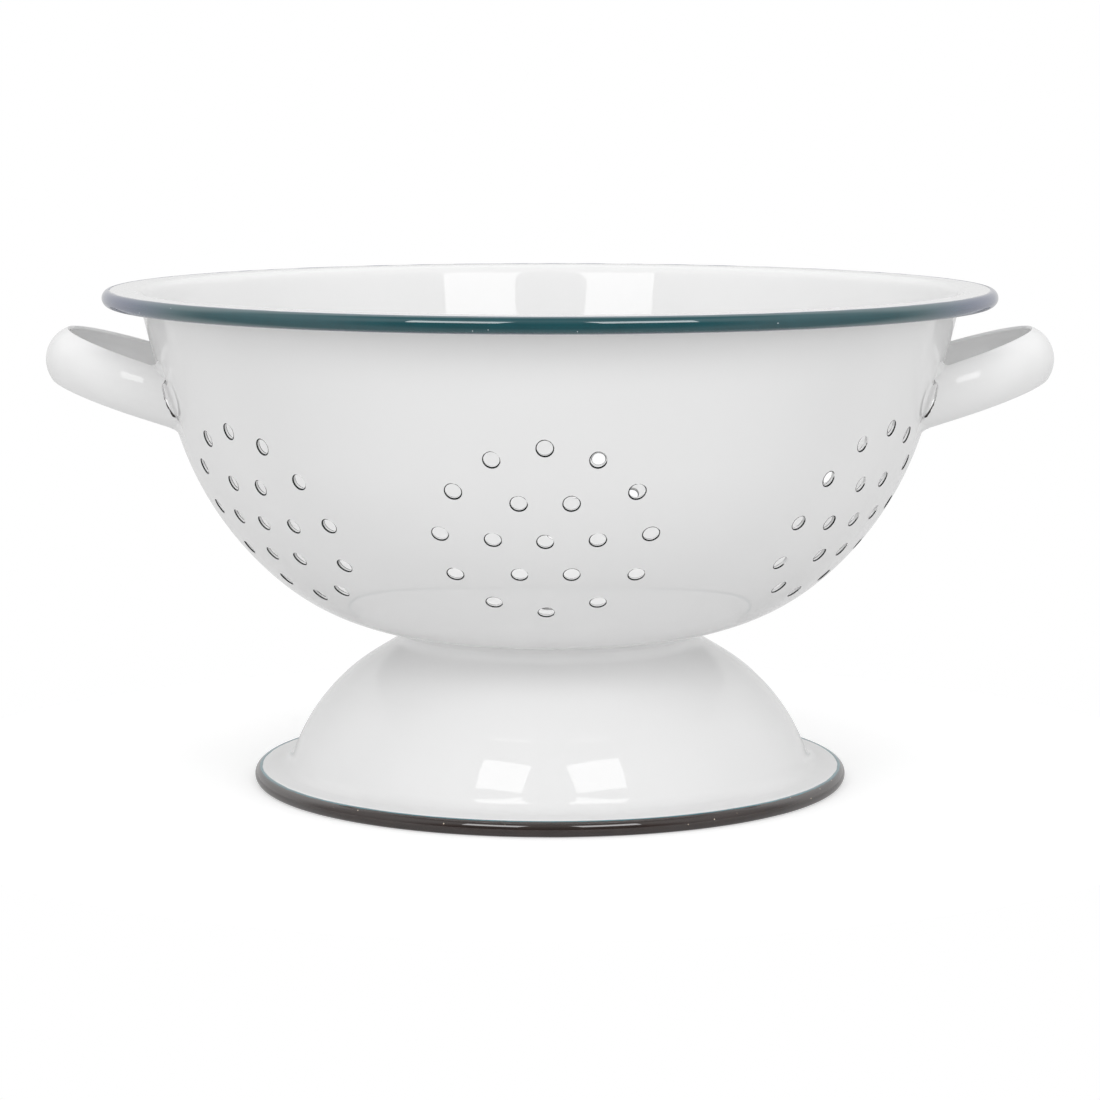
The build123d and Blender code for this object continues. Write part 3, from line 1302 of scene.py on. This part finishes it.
@dataclass(frozen=True)
class Studio:
    """White background, floor, lamps and the camera at the photograph's angle."""

    camera_distance: float = 1.0209
    camera_height: float = 0.2065
    camera_pitch: float = 7.74
    lens: float = 114.2
    sensor: float = 36.0
    clip_start: float = 0.05
    light: Air = Air(
        below=Level(0.62, 0.62, 0.62),
        low=Level(1.3, 1.4, 0.78),
        high=Level(0.85, 0.3, 0.3),
        top=Level(1.65, 1.65, 1.65),
    )
    mirrored: Air = Air(
        below=Level(0.15, 0.35, 0.75),
        low=Level(0.12, 0.4, 0.8),
        high=Level(0.2, 0.5, 0.95),
        top=Level(0.25, 0.25, 1.5),
    )
    table_radius: float = 0.2
    table_segments: int = 128
    table_core: float = 0.1
    table_colour: str = "#d8d8d8"
    table_lift: float = 0.5
    table_clearness: float = 0.4
    boxes: tuple[SoftBox, ...] = (
        SoftBox("left_softbox", azimuth=-25.5, elevation=40.5, width=0.33, height=0.28),
        SoftBox("right_softbox", azimuth=26.0, elevation=40.7, width=0.347, height=0.285),
    )

    def mix_air(self, graph: Graph, air: Air, ways: dict[str, NodeSocket]) -> NodeSocket:
        """Mixes the brightness in every direction.

        Args:
            graph: The world's nodes.
            air: Brightness of the surroundings.
            ways: How far a direction points to the front, to the back, below the table,
                over the low part and to the top, each from 0 to 1.

        Returns:
            The brightness.
        """
        levels = {"low": air.low, "high": air.high, "top": air.top, "below": air.below}
        whole = None
        for name, level in levels.items():
            fore = graph.add("Mix", {0: ways["front"], 2: level.side, 3: level.front})
            inputs = {0: ways["back"], 2: fore.outputs[0], 3: level.back}
            here = graph.add("Mix", inputs).outputs[0]
            if whole is not None:
                here = graph.add("Mix", {0: ways[name], 2: whole, 3: here}).outputs[0]
            whole = here
        return whole

    def build_world(self) -> None:
        """Makes a white tent that is lit low, and is dark to the front where it mirrors."""
        world = bpy.data.worlds.new("studio_air")
        bpy.context.scene.world = world
        graph = Graph(world)
        parts = graph.add("SeparateXYZ", {0: graph.coordinates["Generated"]})
        ways = {}
        for name, axis, start, end in (
            ("front", "Y", -0.45, -0.85),
            ("back", "Y", 0.05, 0.5),
            ("below", "Z", -0.02, -0.12),
            ("high", "Z", 0.25, 0.5),
            ("top", "Z", 0.75, 0.95),
        ):
            inputs = {"Value": parts.outputs[axis], "From Min": start, "From Max": end}
            share = graph.add("MapRange", inputs, interpolation_type="SMOOTHSTEP")
            ways[name] = share.outputs[0]
        light = self.mix_air(graph, self.light, ways)
        mirrored = self.mix_air(graph, self.mirrored, ways)
        path = graph.add("LightPath").outputs
        air = graph.add("Mix", {0: path["Is Glossy Ray"], 2: light, 3: mirrored})
        dim = graph.add("Background", {"Color": WHITE, "Strength": air.outputs[0]})
        bright = graph.add("Background", {"Color": WHITE})
        inputs = {0: path["Is Camera Ray"], 1: path["Is Transmission Ray"]}
        seen = graph.add("Math", inputs, operation="MAXIMUM")
        inputs = {0: seen.outputs[0], 1: dim.outputs[0], 2: bright.outputs[0]}
        graph.add("OutputWorld", {0: graph.add("MixShader", inputs).outputs[0]})

    def build_table(self) -> None:
        """Lays a pale round table top that reads white and keeps a soft shadow."""
        form = bmesh.new()
        sizes = {"segments": self.table_segments, "radius": self.table_radius / MM}
        bmesh.ops.create_circle(form, cap_ends=True, **sizes)
        table = mesh_object("pale_table_top", form, smooth=False)
        # Matt coated paper: no gloss, so that only the soft contact shadow shows on it.
        material = bpy.data.materials.new("matt_white_paper")
        graph = Graph(material)
        path = graph.add("LightPath").outputs
        plain = graph.add("BsdfDiffuse", {"Color": linear(self.table_colour)})
        lift = graph.add("Emission", {"Color": WHITE, "Strength": self.table_lift})
        lifted = graph.add("AddShader", {0: plain.outputs[0], 1: lift.outputs[0]})
        inputs = {0: path["Is Camera Ray"], 1: plain.outputs[0], 2: lifted.outputs[0]}
        seen = graph.add("MixShader", inputs)
        away = graph.add("VectorMath", {0: graph.place}, operation="LENGTH")
        inputs = {
            "Value": away.outputs["Value"],
            "From Min": self.table_core,
            "From Max": self.table_radius,
            "To Min": self.table_clearness,
        }
        fade = graph.add("MapRange", inputs, interpolation_type="SMOOTHSTEP")
        inputs = {0: fade.outputs[0], 1: path["Is Glossy Ray"]}
        faded = graph.add("Math", inputs, operation="MULTIPLY")
        clear = graph.add("BsdfTransparent")
        inputs = {0: faded.outputs[0], 1: seen.outputs[0], 2: clear.outputs[0]}
        graph.add("OutputMaterial", {0: graph.add("MixShader", inputs).outputs[0]})
        table.data.materials.append(material)

    def build_camera(self) -> None:
        """Sets the camera."""
        camera = bpy.data.cameras.new("camera")
        camera.lens = self.lens
        camera.sensor_width = self.sensor
        camera.clip_start = self.clip_start
        piece = bpy.data.objects.new("camera", camera)
        bpy.context.collection.objects.link(piece)
        piece.location = (0.0, -self.camera_distance, self.camera_height)
        piece.rotation_euler = (radians(90 - self.camera_pitch), 0.0, 0.0)
        bpy.context.scene.camera = piece

    def build(self) -> None:
        """Builds the whole studio."""
        bpy.context.scene.view_settings.view_transform = "Standard"
        self.build_world()
        self.build_table()
        self.build_camera()
        for box in self.boxes:
            box.place()


def main() -> None:
    """Builds the studio and every piece of the colander."""
    logging.basicConfig(level=logging.INFO, format="%(name)s %(message)s")
    Studio().build()
    # White enamel, dipped and fired: hard clear mirrors on a faintly wavy, glassy white.
    white = VitreousEnamel("white_vitreous_enamel").make()
    # Teal enamel run over the rim: deep and glassy, lavender at its upper border and, as a
    # painted reflection of the bright sides, towards the handles, with a dark line at its lower
    # border and small pits that catch the light.
    teal = BandEnamel(
        "teal_rim_enamel",
        colour="#023f46",
        cloud_colour="#055058",
        upper=Change("#595e7e", 0.82, 0.14),
        lower=Change("#55566a", 0.17, -0.05),
        line=Change("#141c1f", 0.045, -0.02),
        pits=Change("#d5d8dc", 0.05, -0.025),
        pit_size=4.0,
        ior=2.2,
    ).make()
    # Brown ground enamel on the foot's edge: almost black, with pale worn specks and a
    # thin teal run where the upper coat ended.
    dark = BandEnamel(
        "dark_foot_enamel",
        colour="#1a100d",
        cloud_colour="#352620",
        upper=Change("#0a7482", 0.85, 0.02),
        lower=Change("#43261f", 0.12, -0.08),
        line=Change("#2a1713", 0.02, -0.02),
        pits=Change("#e0d0ba", 0.07, -0.035),
        pit_size=3.6,
        ior=2.1,
    ).make()
    # Ground enamel on punched edges: duller than the white coat, seen as broken dark lines, with
    # painted shade that darkens each hole's edge on the side away from the light.
    ground = GroundEnamel("black_ground_enamel").make()
    bowl = PunchedBowl()
    bowl.dress(white, ground)
    shape = bowl.shape
    foot = PressedFoot()
    hand_over(foot.build(), white, "foot")
    hand_over(foot.build_weld(shape), white, "foot_weld_seam")
    rim = CoatedEdge(
        "teal_rim_coat",
        shape.bead_centre(),
        shape.bead_radius,
        lower_angle=-80.0,
        upper_angle=87.0,
        ragged=0.3,
    )
    hand_over(rim.build(), teal, "rim_enamel_band")
    edge = CoatedEdge(
        "dark_foot_coat",
        foot.bead_centre(),
        foot.bead_radius,
        lower_angle=-60.0,
        upper_angle=85.0,
        ragged=0.2,
    )
    hand_over(edge.build(), dark, "foot_edge_band")
    # The same white enamel on the bent straps: it drains off them, so it lies more evenly.
    even = VitreousEnamel("even_white_enamel", flow_height=0.02).make()
    for side in Side:
        StrapHandle(side, shape).dress(even)


if __name__ == "__main__":
    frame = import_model()
    main()
